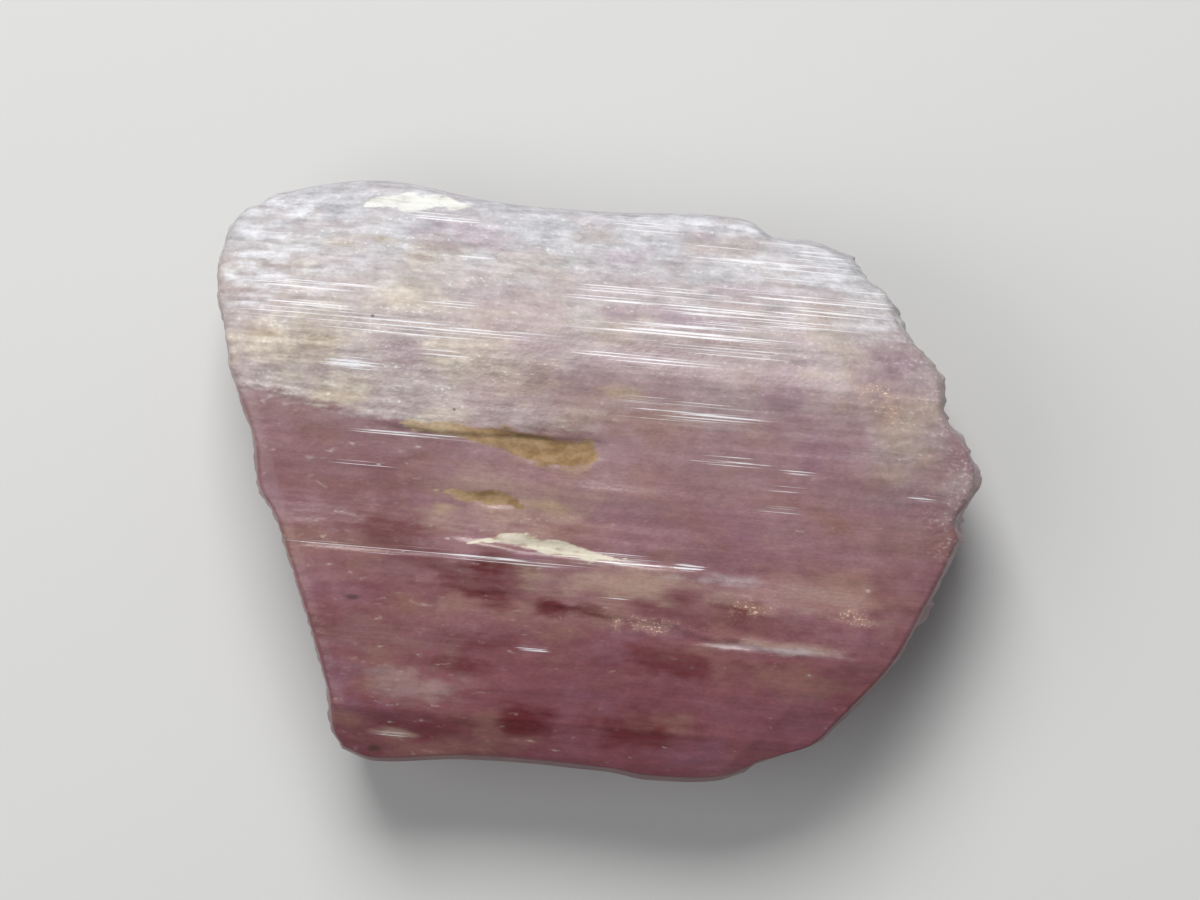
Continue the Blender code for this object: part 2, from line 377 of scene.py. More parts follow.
# Painted highlights: soft white gloss on the frost and along a few streaks
HIGHLIGHT_PATCHES = [
    (-18.9, 11.40, 2.2, 2.80, 0.9),
    (-19.4, 12.40, 0.7, 0.90, 1.0),
    (-17.4, 14.40, 2.4, 0.50, 0.9),
    (-13.8, 13.50, 2.4, 0.60, 0.6),
    (-15.5, 10.60, 2.6, 0.40, 0.5),
    (-6.5, 14.90, 2.0, 0.40, 0.6),
    (4.3, 15.00, 4.6, 0.50, 0.8),
    (1.8, 14.40, 1.4, 0.35, 0.9),
    (11.7, 13.00, 3.4, 1.10, 0.9),
    (15.5, 10.40, 2.0, 0.80, 0.6),
    (9.4, 10.00, 3.2, 0.45, 0.15),
    (3.9, 11.00, 3.6, 0.30, 0.15),
    (-13.2, 5.65, 1.0, 0.20, 0.75),
    (7.7, -4.20, 2.2, 0.28, 0.35),
    (11.2, -7.80, 3.2, 0.24, 0.40),
    (-8.6, -11.40, 2.6, 0.80, 0.12),
]
# Amber patches, tinted and strewn with painted sparkles
AMBER = [
    (15.9, 6.05, 1.7, 0.90, 1.0),
    (8.8, -5.70, 1.8, 0.60, 0.8),
    (15.0, -5.60, 1.2, 0.50, 0.9),
    (3.7, -7.00, 2.9, 0.40, 0.8),
    (-3.5, -1.9, 2.5, 0.9, 0.35),
]
FROSTED_PATCHES = [
    (17.2, 4.60, 2.6, 3.40, 0.45),
    (14.0, 8.00, 3.0, 2.40, 0.45),
    (20.2, 1.20, 1.0, 1.60, 0.45),
    (8.5, 11.60, 7.0, 1.60, 0.40),
]
# Frost starts at the first y and is full at the second. On the sides and back
# it starts lower down and is less strong. Its borders wander by these amounts,
# in bends of this length and width.
FROST_FROM, FROST_FULL = 2.0, 14.0
SIDE_FROST_FROM, SIDE_FROST = -2.0, 0.8
FROST_WANDER, PATCH_WANDER = 2.0, 0.8
FROST_BENDS = (4.0, 1.2)
# The frosted layer on the left: its lower edge as (x, y), how soft that edge
# is, where it dies out to the right, and how far that border wanders
PATCH_EDGE = [(-21.5, 4.30), (-9.9, 2.65), (0.5, 3.00)]
PATCH_SOFTNESS = 0.8
LAYER_GONE, LAYER_FULL, LAYER_WANDER = 4.0, -10.0, 5.0
LAYER_BENDS = (4.0, 2.5)
# The sugary upper part of the right end: none to full, going up and to the right
SUGARY_UP, SUGARY_RIGHT = (-4.0, 0.0), (0.0, 5.0)
# Groups of painted glints along the striations, partly whitish hairlines, ovals as above
GLINTS = [
    (-10.9, 7.95, 7.0, 0.45, 0.8),
    (-17.0, 8.40, 3.0, 0.60, 0.7),
    (-16.2, 9.70, 3.8, 0.40, 0.6),
    (-8.3, 9.40, 1.4, 0.25, 0.6),
    (-7.0, 12.10, 1.0, 0.25, 0.7),
    (-8.5, 6.55, 1.4, 0.25, 0.6),
    (-12.6, 0.28, 1.8, 0.14, 0.7),
    (-13.2, 5.65, 1.5, 0.30, 0.8),
    (-9.3, 2.10, 3.2, 0.13, 1.0),
    (2.0, 14.50, 1.8, 0.45, 0.6),
    (7.0, 13.50, 2.6, 0.60, 0.6),
    (11.2, 13.30, 3.4, 1.10, 0.6),
    (3.9, 11.00, 4.6, 0.45, 0.9),
    (4.1, 10.35, 5.0, 0.35, 0.9),
    (11.0, 11.40, 5.0, 1.00, 0.7),
    (9.2, 10.00, 4.6, 0.70, 0.8),
    (4.8, 8.85, 5.4, 0.55, 0.9),
    (7.4, 8.10, 3.4, 0.30, 0.8),
    (2.6, 7.20, 3.4, 0.35, 0.8),
    (5.9, 4.90, 3.8, 0.50, 0.9),
    (5.4, 4.05, 3.6, 0.30, 1.0),
    (7.6, 2.15, 1.9, 0.25, 1.0),
    (11.4, 1.90, 0.9, 0.13, 0.7),
    (10.9, 0.95, 1.3, 0.14, 0.7),
    (10.5, -0.20, 1.3, 0.22, 0.7),
    (18.3, 1.00, 0.8, 0.30, 0.8),
    (1.6, -3.70, 2.6, 0.34, 0.9),
    (5.9, -3.70, 0.8, 0.20, 0.9),
    (-8.5, -4.19, 7.8, 0.22, 0.65),
    (-9.0, 14.20, 1.8, 0.28, 0.9),
    (1.6, -5.90, 1.2, 0.25, 0.6),
    (-2.2, -8.90, 0.8, 0.22, 0.6),
    (-9.6, -14.20, 1.0, 0.22, 0.5),
]
# Dark specks: (x, y, half length, half width)
SPECKS = [
    (-7.56, 3.64, 0.10, 0.10),
    (-12.38, 8.29, 0.13, 0.10),
    (-12.16, -6.89, 0.50, 0.15),
    (-10.41, -15.10, 0.45, 0.24),
]

# Unevenness of the patches' borders: (length, width, amount, part of the noise)
BORDER_NOISES = [
    (1.8, 0.8, 0.9, RAGGED),
    (0.7, 0.3, 0.5, SMALL_RAGGED),
]
CLAY_UNEVEN, CREAM_UNEVEN = 0.3, 0.2
# Where a band, an oval or a speck starts and is full, in its half widths
BAND_FROM, BAND_FULL = 1.6, 0.4
OVAL_FROM, OVAL_FULL = 1.5, 0.3
SPECK_FROM, SPECK_FULL = 1.3, 0.2
# The least half width that a band is reckoned with
LEAST_HALF = 0.01
# The front's colours reach full strength this far up the block, and the specks
# lie above these heights
FRONT_FULL = 0.6
SPECKS_ABOVE = (6.0, 7.0)

# The photograph: its width in pixels, its scale, and how far the striations
# slant in it, in degrees. VIEW_MIDDLE is the place on the crystal at the middle
# of the picture, and SCALE_LEVEL is the height at which the scale holds.
PHOTO_WIDTH, PIXELS_PER_MM, SLANT = 1200, 18.0, 5.0
VIEW_MIDDLE, SCALE_LEVEL = (0.430, 2.160), 5.5
LENS, SENSOR = 100.0, 36.0

# How far the material's noise moves from one seed to the next
SEED_STEP = (3.7, 1.3, 5.1)

# The floor's width and how far it is below the crystal, and where the lamps
# point, in metres
FLOOR_WIDTH, FLOOR_GAP = 4.0, 0.00003
LAMP_TARGET = (0.0, 0.0, 0.005)

# Grid of the fine mesh: cells along, across and through
CELLS_ALONG, CELLS_ACROSS, CELLS_THROUGH = 122, 290, 26


def smooth_step(low, high, value):
    """value's way from low to high, as 0 to 1, easing in and out."""
    t = np.clip((value - low) / (high - low), 0.0, 1.0)
    return t * t * (3 - 2 * t)


def through(points, at):
    """The height at places on the smooth curve through (place, height) points."""
    places, heights = np.array(points).T
    before = np.concatenate([[0], np.arange(len(places) - 1)])
    after = np.concatenate([np.arange(1, len(places)), [len(places) - 1]])
    slopes = (heights[after] - heights[before]) / (places[after] - places[before])
    at = np.clip(at, places[0], places[-1])
    i = np.clip(np.searchsorted(places, at) - 1, 0, len(places) - 2)
    span = places[i + 1] - places[i]
    t = (at - places[i]) / span
    return (
        heights[i] * (2 * t**3 - 3 * t**2 + 1)
        + slopes[i] * span * (t**3 - 2 * t**2 + t)
        + heights[i + 1] * (3 * t**2 - 2 * t**3)
        + slopes[i + 1] * span * (t**3 - t**2)
    )


def along_flats(points, at):
    """The height at places on the straight lines between (place, height) points."""
    return np.interp(at, *np.array(points).T)


def noise_at(x, y, z):
    """Smooth noise from -1 to 1 at each place."""
    x, y, z = np.broadcast_arrays(x, y, z)
    places = zip(x.ravel().tolist(), y.ravel().tolist(), z.ravel().tolist())
    return np.fromiter(map(noise.noise, places), float, x.size).reshape(x.shape)


def row_ends(y):
    """Where the row of the outline at y begins and ends."""
    across = y / WIDTH
    return through(LEFT_END, across) * LENGTH, through(RIGHT_END, across) * LENGTH


def stretched_noise(x, y, length, width, part):
    """Noise drawn out along X."""
    return noise_at(x / length, y / width, part)


def striations(x, y, part):
    """Height of the ridges that run along the crystal."""
    fine = stretched_noise(x, y, STRIATION_LENGTH, STRIATION_WIDTH, part)
    part += FINE_TO_BROAD
    broad = 1 - 2 * np.abs(stretched_noise(x, y, RIB_LENGTH, RIB_WIDTH, part))
    return STRIATION_HEIGHT * fine + RIB_HEIGHT * broad


def fine_striations(x, y, part):
    """Height of the fine ridges, and of flat layers with steps between them."""
    height = 0.0
    for length, width, size in FINE_STRIATIONS:
        part += FINE_TO_BROAD / 2
        height = height + size * stretched_noise(x, y, length, width, part)
    layers = stretched_noise(x, y, STAIR_LENGTH, STAIR_WIDTH, part + TO_STAIRS)
    return height + STAIR_HEIGHT * stairs(STAIR_COUNT * layers, STAIR_FLAT)


def stairs(steps, flat):
    """Turns a slope into whole steps, each flat for this share of its width."""
    whole = np.floor(steps)
    return whole + smooth_step(flat, 1.0, steps - whole)


def lumps(x, y, part):
    """Height of the broad unevenness of a face."""
    return LUMP_HEIGHT * stretched_noise(x, y, LUMP_SIZE, LUMP_SIZE, part)


def ledge_drop(x, y, ledges):
    """How much lower the face is for the ledges between here and its top edge."""
    drop = 0.0
    for left_y, right_y, left, right, height, wander in ledges:
        start, end = left * LENGTH, right * LENGTH
        share = np.clip((x - start) / (end - start), 0.0, 1.0)
        edge = (left_y + (right_y - left_y) * share) * WIDTH
        edge = edge + wander * noise_at(x / WANDER_LENGTH, edge, LEDGES)
        edge = edge + JAG_SHARE * wander * noise_at(x / JAG_LENGTH, edge, LEDGES)
        there = smooth_step(-LEDGE_FADE, 0.0, x - start)
        there = there * smooth_step(-LEDGE_FADE, 0.0, end - x)
        drop = drop + height * there * smooth_step(0.0, LEDGE_WALL, edge - y)
    return drop


def hollows(x, y):
    """Depth of the long etched hollows at this place."""
    depth = 0.0
    for along, across, half_length, half_width, deep in HOLLOWS:
        far_x = (x - along * LENGTH) / half_length
        far_y = (y - across * WIDTH) / half_width
        depth = depth + deep * smooth_step(1.0, HOLLOW_FLOOR, np.hypot(far_x, far_y))
    return depth


def bevel_fall(x, y, bevels):
    """How far the deepest bevel here has cut into the face."""
    most = np.zeros_like(x)
    for facing, start, slope in bevels:
        angle = math.radians(facing)
        reached = x * math.cos(angle) + y * math.sin(angle)
        most = np.maximum(most, slope * (reached - start))
    return most


def frosted(x, y):
    """How dull the front is etched, from 0 where it is clear to 1."""
    wander = stretched_noise(x, y, *FROST_BENDS, FROST_BORDER)
    rising = smooth_step(FROST_FROM, FROST_FULL, y + FROST_WANDER * wander)
    return np.maximum(rising, ovals(x, y, FROSTED_PATCHES, PATCH_WANDER * wander))


def above_patch_edge(x, y):
    """Rises from 0 to 1 across the frosted layer's lower edge, on the left."""
    across, edge = np.array(PATCH_EDGE).T
    above = y - np.interp(x, across, edge)
    return smooth_step(-PATCH_SOFTNESS, PATCH_SOFTNESS, above)


def patch_spread(x, y):
    """The strength of the frosted layer on the left, which dies out to the right."""
    wander = stretched_noise(x, y, *LAYER_BENDS, LAYER_BORDER)
    return smooth_step(LAYER_GONE, LAYER_FULL, x + LAYER_WANDER * wander)


def etch_pits(x, y, part):
    """Height of the grain of a dull face, less the depth of its pits."""
    pits = stretched_noise(x, y, PIT_LENGTH, PIT_WIDTH, part)
    grain = stretched_noise(x, y, GRAIN_LENGTH, GRAIN_WIDTH, part + TO_GRAIN)
    return GRAIN_HEIGHT * grain - PIT_DEPTH * smooth_step(PIT_FROM, PIT_FULL, pits)


def bands(x, y, stains, uneven=0.0):
    """How strongly each place lies in the bands, fading over their uneven edges."""
    most = np.zeros_like(x)
    for stain in stains:
        along, middle, half_width = np.array(stain).T
        width = np.interp(x, along, half_width, left=0.0, right=0.0)
        far = np.abs(y + uneven - np.interp(x, along, middle)) / np.maximum(width, LEAST_HALF)
        most = np.maximum(most, smooth_step(BAND_FROM, BAND_FULL, far) * (width > 0))
    return most


def ovals(x, y, patches, uneven=0.0):
    """How strongly each place lies in the ovals, fading over their uneven rims."""
    most = np.zeros_like(x)
    for middle_x, middle_y, half_length, half_width, strength in patches:
        far = np.hypot((x - middle_x) / half_length, (y - middle_y) / half_width)
        inside = smooth_step(OVAL_FROM, OVAL_FULL, far + uneven)
        most = np.maximum(most, strength * inside)
    return most


def front_height(x, y):
    """The front face, with its ledges, hollows, striations and etch pits."""
    height = along_flats(FRONT_ACROSS, y / WIDTH) * THICKNESS
    height = height - bevel_fall(x, y, FRONT_BEVELS)
    height = height - ledge_drop(x, y, FRONT_LEDGES)
    height = height - hollows(x, y)
    height = height + lumps(x, y, FRONT) + striations(x, y, FRONT)
    height = height + fine_striations(x, y, FRONT)
    etched = np.maximum(frosted(x, y), END_ETCHED * near_ends(x, y))
    return height + etched * etch_pits(x, y, FRONT)


def near_ends(x, y):
    """1 at the crystal's two ends, fading to 0 a few millimetres in."""
    left, right = row_ends(y)
    return smooth_step(END_REACH, END_FULL, np.minimum(x - left, right - x))


def back_height(x, y):
    """The back is flat where the crystal rests, and broken up towards its rim."""
    height = along_flats(BACK_ACROSS, y / WIDTH) * THICKNESS
    height = height + bevel_fall(x, y, BACK_BEVELS)
    height = height + ledge_drop(x, y, LOWER_BACK_LEDGES)
    height = height + ledge_drop(-x, -y, UPPER_BACK_LEDGES)
    height = height + lumps(x, y, BACK) + striations(x, y, BACK)
    relief = fine_striations(x, y, BACK) + etch_pits(x, y, BACK)
    return np.maximum(0.0, height + relief * smooth_step(0.0, REST_FADE, height))


def etching(x, y, z):
    """Height of the bumps on an etched end."""
    broad = noise_at(x / ETCH_SIZE, y / ETCH_SIZE, z / ETCH_SIZE)
    fine = noise_at(x / BUMP_SIZE, y / BUMP_SIZE, z / BUMP_TALL)
    return ETCH_HEIGHT * broad + BUMP_HEIGHT * fine


def splinters(x, y, z):
    """Depth of the steps and ridges broken out of the two ends."""
    part = np.where(x > 0, RIGHT_STEPS, LEFT_STEPS)
    leaning = y + SPLINTER_LEAN * z
    steps = stretched_noise(leaning, z, SPLINTER_WIDTH, SPLINTER_TALL, part)
    steps = stairs(SPLINTER_COUNT * steps, SPLINTER_FLAT)
    layers = stretched_noise(y, z, LAYER_LENGTH, LAYER_WIDTH, part + TO_LAYERS)
    layers = stairs(LAYER_COUNT * layers, SPLINTER_FLAT)
    ridges = np.abs(stretched_noise(leaning, z, RIDGE_WIDTH, RIDGE_TALL, part + TO_RIDGES))
    broken = np.maximum(0.0, steps + LAYER_SHARE * layers + 1)
    return SPLINTER_HEIGHT * broken + RIDGE_DEPTH * ridges


def grooves(x, y, z):
    """Depth of the stepped grooves that run along the two long sides."""
    part = np.where(y > 0, TOP_GROOVES, BOTTOM_GROOVES)
    steps = stretched_noise(x, z, GROOVE_LENGTH, GROOVE_WIDTH, part)
    steps = stairs(GROOVE_COUNT * steps, GROOVE_FLAT)
    ridges = np.abs(stretched_noise(x, z, RIDGE_LENGTH, RIDGE_WIDTH, part + TO_RIDGES))
    return GROOVE_DEPTH * np.maximum(0.0, steps + 1) + RIDGE_DEPTH * ridges


def scallops(y, z):
    """Size of the scallops and teeth along the right end."""
    wave = np.abs(np.sin(math.pi * (y + SCALLOP_LEAN * z) / SCALLOP_PITCH))
    shift = TOOTH_SHIFT * noise_at(y / TOOTH_SHIFT_LENGTH, 0.0, TEETH)
    teeth = np.abs(np.sin(math.pi * (y + shift) / TOOTH_PITCH))
    there = smooth_step(SMOOTH_BELOW, SCALLOPED_ABOVE, y)
    return (SCALLOP_DEPTH * (1 - wave) + TOOTH_DEPTH * (1 - teeth)) * there


def outline_place(u, v, drawn_in):
    """Where (u, v) of the block lies inside the crystal's outline."""
    y = v * (WIDTH / 2 - RIM_AT_SIDES * drawn_in)
    left, right = row_ends(y)
    left = left + RIM_AT_LEFT * drawn_in
    right = right - RIM_AT_RIGHT * drawn_in
    x = left + (right - left) * (u + 1) / 2
    from_top = smooth_step(SIDE_REACH, 0.0, WIDTH / 2 - y)
    from_bottom = smooth_step(SIDE_REACH, 0.0, WIDTH / 2 + y)
    y = y - through(TOP_SIDE, x / LENGTH) * WIDTH * from_top
    y = y + through(BOTTOM_SIDE, x / LENGTH) * WIDTH * from_bottom
    return x, y


def place(u, v, w):
    """Points of the block, with u, v and w from -1 to 1, moved onto the crystal."""
    drawn_in = along_flats(RIM_PROFILE, w)
    x, y = outline_place(u, v, drawn_in)
    low, high = back_height(x, y), front_height(x, y)
    z = low + (high - low) * (w + 1) / 2

    on_rim = 1 - drawn_in
    on_end = on_rim * smooth_step(1 - RIM_SHARE, 1.0, np.abs(u))
    on_side = on_rim * smooth_step(1 - RIM_SHARE, 1.0, np.abs(v))
    # Bumps, teeth and ridges stand out from the rim, and the steps cut into it
    under = smooth_step(0.0, -UNDER_FADE, w)
    out = np.abs(etching(x, y, z) - scallops(y, z) * (u > 0)) - under * splinters(x, y, z)
    x = x + np.sign(u) * out * on_end
    ribs = np.abs(striations(x, z, RIM) + fine_striations(x, z, RIM))
    y = y + np.sign(v) * (ribs - under * grooves(x, y, z)) * on_side
    return np.stack([x, y, z], axis=1)


def fit_to_box(points, low, high):
    """The points in metres, stretched to lie in the box from low to high."""
    least, most = points.min(axis=0), points.max(axis=0)
    low, high = np.array(low), np.array(high)
    return low + (points - least) / (most - least) * (high - low)


def grid_of_block():
    """(u, v, w of each point on the block's surface, corners of its faces)."""
    counts = (CELLS_ALONG, CELLS_ACROSS, CELLS_THROUGH)
    steps = np.stack(np.meshgrid(*[np.arange(n + 1) for n in counts], indexing="ij"), -1)
    outside = ((steps == 0) | (steps == np.array(counts))).any(axis=-1)
    number = np.full(outside.shape, -1)
    number[outside] = np.arange(outside.sum())
    faces = []
    for axis in range(3):
        for side in (0, -1):
            sheet = np.take(number, side, axis=axis)
            quads = [sheet[:-1, :-1], sheet[1:, :-1], sheet[1:, 1:], sheet[:-1, 1:]]
            faces.append(np.stack(quads, axis=-1).reshape(-1, 4))
    places = 2 * steps[outside] / np.array(counts) - 1
    return places, np.concatenate(faces)


def front_colours(x, y, w):
    """Masks for the material, each a value at every point of the mesh."""
    front = smooth_step(0.0, FRONT_FULL, w)
    uneven = sum(
        amount * stretched_noise(x, y, length, width, part)
        for length, width, amount, part in BORDER_NOISES
    )
    masks = {
        "clay": bands(x, y, CLAY_BANDS, CLAY_UNEVEN * uneven),
        "shade": bands(x, y, CLAY_SHADOW_BANDS),
        "cream": bands(x, y, CREAM_BANDS, CREAM_UNEVEN * uneven),
        "wine": ovals(x, y, WINE, uneven),
        "plum": ovals(x, y, PLUM, uneven),
        "haze": ovals(x, y, HAZE, uneven),
        "amber": ovals(x, y, AMBER, uneven),
        "straw": ovals(x, y, STRAW, uneven),
        "bright": ovals(x, y, HIGHLIGHT_PATCHES, uneven),
        "glint": ovals(x, y, GLINTS),
        "patch": above_patch_edge(x, y),
        "spread": patch_spread(x, y),
    }
    masks = {name: mask * front for name, mask in masks.items()}
    rest = smooth_step(SIDE_FROST_FROM, FROST_FULL, y) * SIDE_FROST
    masks["frost"] = np.clip(frosted(x, y) * front + rest * (1 - front), 0.0, 1.0)
    masks["rim"] = 1 - front
    upper_right = smooth_step(*SUGARY_UP, y) * smooth_step(*SUGARY_RIGHT, x)
    masks["end"] = near_ends(x, y) * upper_right
    return masks


def crystal_piece(material):
    """The fine mesh of the crystal, in the box of the solid that it replaces."""
    places, faces = grid_of_block()
    placed = place(*places.T)
    points = fit_to_box(placed, *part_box(NODE))
    mesh = bpy.data.meshes.new("crystal")
    mesh.from_pydata(points.tolist(), [], faces.tolist())
    for name, mask in front_colours(placed[:, 0], placed[:, 1], places[:, 2]).items():
        mesh.attributes.new(name, "FLOAT", "POINT").data.foreach_set("value", mask)
    fine = bmesh.new()
    fine.from_mesh(mesh)
    bmesh.ops.recalc_face_normals(fine, faces=fine.faces[:])
    fine.to_mesh(mesh)
    fine.free()
    mesh.shade_smooth()
    mesh.materials.append(material)
    crystal = bpy.data.objects.new("crystal", mesh)
    bpy.context.scene.collection.objects.link(crystal)
    return crystal


class Nodes:
    """Adds nodes to a material. Numbers, colours and sockets can all be inputs."""

    def __init__(self, material):
        material.use_nodes = True
        self.tree = material.node_tree
        self.shader = self.tree.nodes["Principled BSDF"]
        self.output = self.tree.nodes["Material Output"]
        coordinates = self.tree.nodes.new("ShaderNodeTexCoord")
        self.place = self.vector("SCALE", coordinates.outputs["Object"], scale=1 / MM)
        parts = self.tree.nodes.new("ShaderNodeSeparateXYZ")
        self.join(self.place, parts.inputs[0])
        self.x, self.y, self.z = parts.outputs

    def join(self, value, socket):
        """Links a socket to another, or sets it to a plain value."""
        if isinstance(value, bpy.types.NodeSocket):
            self.tree.links.new(value, socket)
        else:
            socket.default_value = value

    def vector(self, operation, first, second=None, scale=None):
        """A step of vector arithmetic."""
        node = self.tree.nodes.new("ShaderNodeVectorMath")
        node.operation = operation
        self.join(first, node.inputs[0])
        if second is not None:
            self.join(second, node.inputs[1])
        if scale is not None:
            self.join(scale, node.inputs["Scale"])
        return node.outputs["Value"] if operation == "LENGTH" else node.outputs["Vector"]

    def math(self, operation, first, second=0.0):
        """A step of arithmetic on two numbers."""
        node = self.tree.nodes.new("ShaderNodeMath")
        node.operation = operation
        self.join(first, node.inputs[0])
        self.join(second, node.inputs[1])
        return node.outputs[0]

    def ramp(self, value, low, high, to_low=0.0, to_high=1.0):
        """value's way from low to high, eased and clamped, as to_low to to_high."""
        node = self.tree.nodes.new("ShaderNodeMapRange")
        node.interpolation_type = "SMOOTHSTEP"
        for socket, given in zip(node.inputs, (value, low, high, to_low, to_high)):
            self.join(given, socket)
        return node.outputs[0]

    def mix(self, share, first, second):
        """The first colour with this share of the second over it."""
        node = self.tree.nodes.new("ShaderNodeMix")
        node.data_type = "RGBA"
        self.join(share, node.inputs["Factor"])
        for socket, colour in ((node.inputs[6], first), (node.inputs[7], second)):
            if isinstance(colour, tuple):
                colour = (*colour, 1.0)
            self.join(colour, socket)
        return node.outputs[2]

    def streaks(self, length, width, seed, detail, depth=None):
        """Noise from 0 to 1, drawn out along the striations. Sizes are in mm."""
        depth = depth or width
        size = self.vector("MULTIPLY", self.place, (1 / length, 1 / width, 1 / depth))
        moved = self.vector("ADD", size, tuple(seed * step for step in SEED_STEP))
        node = self.tree.nodes.new("ShaderNodeTexNoise")
        self.join(moved, node.inputs["Vector"])
        node.inputs["Scale"].default_value = 1.0
        node.inputs["Detail"].default_value = detail
        return node.outputs[0]

    def mask(self, name):
        """A mask that the mesh carries at each of its points."""
        node = self.tree.nodes.new("ShaderNodeAttribute")
        node.attribute_name = name
        return node.outputs["Fac"]

    def broken(self, mask, ragged, amount, softness):
        """The mask with a ragged edge. ragged is a noise."""
        shift = self.math("MULTIPLY", self.math("SUBTRACT", ragged, 0.5), amount)
        near, far = 0.5 - softness / 2, 0.5 + softness / 2
        return self.ramp(self.math("ADD", mask, shift), near, far)

    def sum_around(self, *terms):
        """1 plus each noise's departure from its middle times its amount."""
        total = 1.0
        for value, amount in terms:
            total = self.math("ADD", total, self.times(self.math("SUBTRACT", value, 0.5), amount))
        return total

    def shaded(self, colour, brightness):
        """The colour made darker or lighter."""
        return self.vector("SCALE", colour, scale=brightness)

    def times(self, *factors):
        """The product of all the factors."""
        product = factors[0]
        for factor in factors[1:]:
            product = self.math("MULTIPLY", product, factor)
        return product

    def colours(self, value, stops):
        """The colour at value on a ramp of (place, colour) stops."""
        node = self.tree.nodes.new("ShaderNodeValToRGB")
        self.join(value, node.inputs[0])
        steps = node.color_ramp.elements
        while len(steps) < len(stops):
            steps.new(0.5)
        for step, (place, colour) in zip(steps, stops):
            step.position = place
            step.color = (*colour, 1.0)
        return node.outputs["Color"]

    def speck(self, x, y, half_length, half_width):
        """A small oval on the front face, from 0 outside it to 1."""
        away = self.vector("SUBTRACT", self.place, (x, y, 0.0))
        flat = self.vector("MULTIPLY", away, (1 / half_length, 1 / half_width, 0.0))
        far = self.vector("LENGTH", flat)
        near = self.ramp(far, SPECK_FROM, SPECK_FULL)
        return self.times(near, self.ramp(self.z, *SPECKS_ABOVE))


def srgb(red, green, blue):
    """The linear colour of an 8-bit screen colour."""
    return tuple(
        c / 12.92 if c <= 0.04045 else ((c + 0.055) / 1.055) ** 2.4
        for c in (red / 255, green / 255, blue / 255)
    )


# Colours of the body from the lower edge up, as (place from 0 to 1, colour),
# and of what lies in and on it. The body deepens towards the lower edge, partly
# its own colour and partly painted shade.
BODY = [
    (0.0, srgb(126, 70, 78)),
    (0.22, srgb(136, 82, 88)),
    (0.40, srgb(153, 110, 113)),
    (0.60, srgb(164, 130, 133)),
    (0.75, srgb(178, 154, 158)),
    (1.0, srgb(196, 184, 190)),
]
BROWN_CLOUD, PURPLE_CLOUD = srgb(158, 120, 102), srgb(148, 100, 122)
WINE_RED, HAZE_BEIGE = srgb(98, 20, 28), srgb(186, 156, 141)
# Paler lilac for the sides and back: partly the crystal's colour, partly a painted glow of light
# through its thin edges
RIM_GLOW_LILAC = srgb(184, 148, 162)
# Frost colours. The bluish white towards the top is frost with a painted highlight on the top
# bevel
WARM_FROST, GREY_FROST, FROST_AND_HIGHLIGHT = srgb(206, 195, 179), srgb(193, 181, 177), srgb(204, 203, 207)
CLEAR_PLUM, FROSTED_PLUM = srgb(136, 92, 114), srgb(166, 138, 152)
# The white of the painted highlights, then straw yellow
HIGHLIGHT_WHITE, STRAW_YELLOW = srgb(226, 227, 232), srgb(198, 174, 130)
GRANULE_WHITE, SUGAR_WHITE = srgb(250, 250, 248), srgb(236, 230, 236)
# Painted sheen and painted glint lines, the lines partly whitish hairlines
GLINT_SHEEN_WHITE, GLINT_LINE_WHITE = srgb(226, 222, 228), srgb(252, 250, 253)
# Amber tint, and the gold of the painted sparkles
AMBER_GLOW, SPARKLE_GOLD = srgb(218, 182, 158), srgb(255, 228, 200)
DARK_CREAM, LIGHT_CREAM = srgb(192, 174, 148), srgb(234, 226, 204)
DARK_CHALK, LIGHT_CHALK = srgb(216, 216, 204), srgb(253, 253, 246)
DARK_CLAY, LIGHT_CLAY = srgb(150, 118, 74), srgb(180, 150, 108)
CLAY_TAIL, CLAY_SHADOW = srgb(200, 178, 146), srgb(112, 86, 46)
SPECK_BROWN = srgb(84, 60, 46)


def all_streaks(n):
    """The noises that the material is mixed from, each with its length and width."""
    s = SimpleNamespace(
        ragged=n.streaks(0.8, 0.35, seed=1.0, detail=4.0),
        wisps=n.streaks(2.6, 0.35, seed=2.0, detail=4.0, depth=1.0),
        fine=n.streaks(5.0, 0.30, seed=3.0, detail=2.0, depth=1.0),
        finest=n.streaks(10.0, 0.08, seed=4.0, detail=1.0, depth=2.0),
        grain=n.streaks(0.24, 0.16, seed=5.0, detail=3.0),
        cloud=n.streaks(3.2, 2.0, seed=6.0, detail=4.0),
        hue=n.streaks(4.5, 2.6, seed=7.0, detail=3.0),
        glitter=n.streaks(0.15, 0.10, seed=8.0, detail=3.0),
        mottle=n.streaks(0.9, 0.6, seed=9.0, detail=3.0),
    )
    s.uneven = n.math("ADD", n.times(s.wisps, 0.6), n.times(s.mottle, 0.4))
    return s


def moved_up(n, start, *noises):
    """start plus each noise's departure from its middle times its reach."""
    for noise_of, reach in noises:
        start = n.math("ADD", start, n.times(n.math("SUBTRACT", noise_of, 0.5), reach))
    return start


